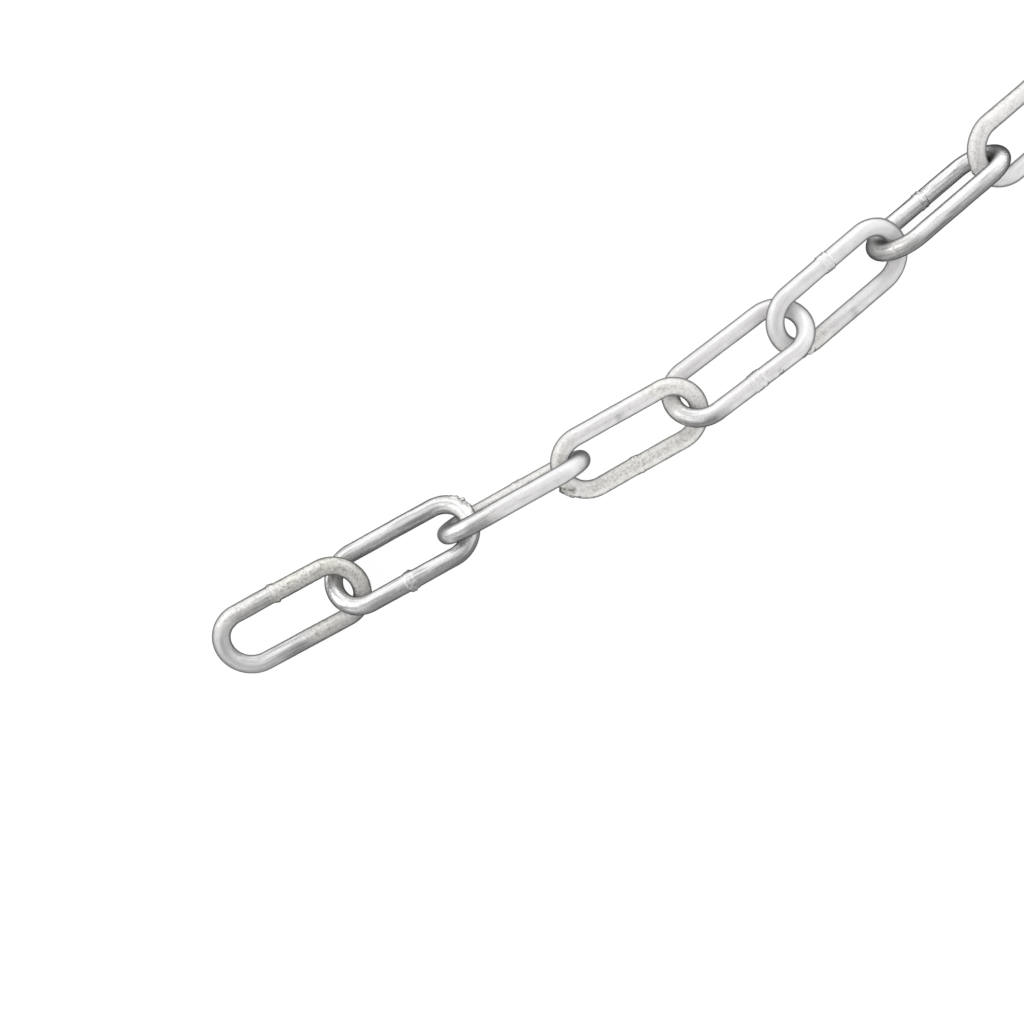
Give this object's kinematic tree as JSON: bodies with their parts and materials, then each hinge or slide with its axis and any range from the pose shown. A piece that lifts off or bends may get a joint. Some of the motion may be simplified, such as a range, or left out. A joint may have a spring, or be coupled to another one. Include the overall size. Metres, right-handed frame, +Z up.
{
  "type": "long-link steel chain",
  "caption": "A metre of galvanised welded long-link steel chain, laid in a loose hook, for hanging, tethering, lashing and barriers",
  "frame": {"origin": "middle of the chain's footprint, on the floor it lies on", "axes": "+X along the nearly straight run from the free end towards the turn, +Y to the left of that run, towards the run back, +Z up"},
  "size_m": [0.436, 0.3602, 0.0234],
  "materials": {
    "zinc": "hot-dip galvanised steel, pale silver grey, smooth and shiny in places, matt and finely grained in others, with runs and lumps of zinc"
  },
  "bodies": {
    "link_01": {"link_01": "zinc"},
    "link_02": {"link_02": "zinc"},
    "link_03": {"link_03": "zinc"},
    "link_04": {"link_04": "zinc"},
    "link_05": {"link_05": "zinc"},
    "link_06": {"link_06": "zinc"},
    "link_07": {"link_07": "zinc"},
    "link_08": {"link_08": "zinc"},
    "link_09": {"link_09": "zinc"},
    "link_10": {"link_10": "zinc"},
    "link_11": {"link_11": "zinc"},
    "link_12": {"link_12": "zinc"},
    "link_13": {"link_13": "zinc"},
    "link_14": {"link_14": "zinc"},
    "link_15": {"link_15": "zinc"},
    "link_16": {"link_16": "zinc"},
    "link_17": {"link_17": "zinc"},
    "link_18": {"link_18": "zinc"},
    "link_19": {"link_19": "zinc"},
    "link_20": {"link_20": "zinc"},
    "link_21": {"link_21": "zinc"},
    "link_22": {"link_22": "zinc"},
    "link_23": {"link_23": "zinc"},
    "link_24": {"link_24": "zinc"}
  },
  "joints": [
    {"name": "swing_01_02", "type": "hinge", "parent": "link_01", "child": "link_02", "pos_m": [-0.16697, -0.16761, 0.00982], "axis": [0, 0.7071, 0.7071], "range_deg": [-8, 6]},
    {"name": "swing_02_03", "type": "hinge", "parent": "link_02", "child": "link_03", "pos_m": [-0.12768, -0.16751, 0.01105], "axis": [0.003, 0.9936, -0.1132], "range_deg": [-5, 16]},
    {"name": "swing_03_04", "type": "hinge", "parent": "link_03", "child": "link_04", "pos_m": [-0.08847, -0.16817, 0.01115], "axis": [0.0356, -0.484, 0.8743], "range_deg": [-90, 10]},
    {"name": "swing_04_05", "type": "hinge", "parent": "link_04", "child": "link_05", "pos_m": [-0.04854, -0.16882, 0.00997], "axis": [-0.0023, -0.6629, -0.7487], "range_deg": [-4, 25]},
    {"name": "swing_05_06", "type": "hinge", "parent": "link_05", "child": "link_06", "pos_m": [-0.00869, -0.1609, 0.01213], "axis": [-0.15, 0.9748, -0.165], "range_deg": [-13, 31]},
    {"name": "swing_06_07", "type": "hinge", "parent": "link_06", "child": "link_07", "pos_m": [0.02904, -0.15268, 0.01053], "axis": [-0.14, 0.6066, 0.7826], "range_deg": [-90, 90]},
    {"name": "swing_07_08", "type": "hinge", "parent": "link_07", "child": "link_08", "pos_m": [0.06941, -0.14336, 0.00982], "axis": [0.1591, -0.689, 0.7071], "range_deg": [-90, 90]},
    {"name": "swing_08_09", "type": "hinge", "parent": "link_08", "child": "link_09", "pos_m": [0.10985, -0.13402, 0.00982], "axis": [0.1591, -0.689, -0.7071], "range_deg": [-90, 90]},
    {"name": "swing_09_10", "type": "hinge", "parent": "link_09", "child": "link_10", "pos_m": [0.14599, -0.11382, 0.00982], "axis": [-0.332, 0.6243, -0.7071], "range_deg": [-90, 90]},
    {"name": "swing_10_11", "type": "hinge", "parent": "link_10", "child": "link_11", "pos_m": [0.17568, -0.08495, 0.00982], "axis": [-0.4822, 0.5171, 0.7071], "range_deg": [-90, 90]},
    {"name": "swing_11_12", "type": "hinge", "parent": "link_11", "child": "link_12", "pos_m": [0.19688, -0.04938, 0.00982], "axis": [0.5997, -0.3747, 0.7071], "range_deg": [-90, 90]},
    {"name": "swing_12_13", "type": "hinge", "parent": "link_12", "child": "link_13", "pos_m": [0.20815, -0.00954, 0.00982], "axis": [0.6762, -0.2067, -0.7071], "range_deg": [-90, 90]},
    {"name": "swing_13_14", "type": "hinge", "parent": "link_13", "child": "link_14", "pos_m": [0.20873, 0.03186, 0.00982], "axis": [-0.7067, 0.0247, -0.7071], "range_deg": [-90, 90]},
    {"name": "swing_14_15", "type": "hinge", "parent": "link_14", "child": "link_15", "pos_m": [0.19857, 0.072, 0.00982], "axis": [-0.689, -0.1591, 0.7071], "range_deg": [-90, 61]},
    {"name": "swing_15_16", "type": "hinge", "parent": "link_15", "child": "link_16", "pos_m": [0.17836, 0.10815, 0.00982], "axis": [0.6243, 0.332, 0.7071], "range_deg": [-90, 73]},
    {"name": "swing_16_17", "type": "hinge", "parent": "link_16", "child": "link_17", "pos_m": [0.1495, 0.13783, 0.00982], "axis": [0.5171, 0.4822, -0.7071], "range_deg": [-90, 90]},
    {"name": "swing_17_18", "type": "hinge", "parent": "link_17", "child": "link_18", "pos_m": [0.11393, 0.15903, 0.00982], "axis": [-0.3747, -0.5997, -0.7071], "range_deg": [-90, 90]},
    {"name": "swing_18_19", "type": "hinge", "parent": "link_18", "child": "link_19", "pos_m": [0.07408, 0.17031, 0.00982], "axis": [-0.2067, -0.6762, 0.7071], "range_deg": [-90, 90]},
    {"name": "swing_19_20", "type": "hinge", "parent": "link_19", "child": "link_20", "pos_m": [0.03268, 0.17088, 0.00982], "axis": [0.0247, 0.7067, 0.7071], "range_deg": [-90, 90]},
    {"name": "swing_20_21", "type": "hinge", "parent": "link_20", "child": "link_21", "pos_m": [-0.00746, 0.16072, 0.00982], "axis": [-0.1591, 0.689, -0.7071], "range_deg": [-90, 90]},
    {"name": "swing_21_22", "type": "hinge", "parent": "link_21", "child": "link_22", "pos_m": [-0.0479, 0.15139, 0.00982], "axis": [0.1591, -0.689, -0.7071], "range_deg": [-90, 90]},
    {"name": "swing_22_23", "type": "hinge", "parent": "link_22", "child": "link_23", "pos_m": [-0.08833, 0.14205, 0.00982], "axis": [0.1591, -0.689, 0.7071], "range_deg": [-90, 90]},
    {"name": "swing_23_24", "type": "hinge", "parent": "link_23", "child": "link_24", "pos_m": [-0.12877, 0.13271, 0.00982], "axis": [-0.1591, 0.689, 0.7071], "range_deg": [-90, 90]}
  ]
}
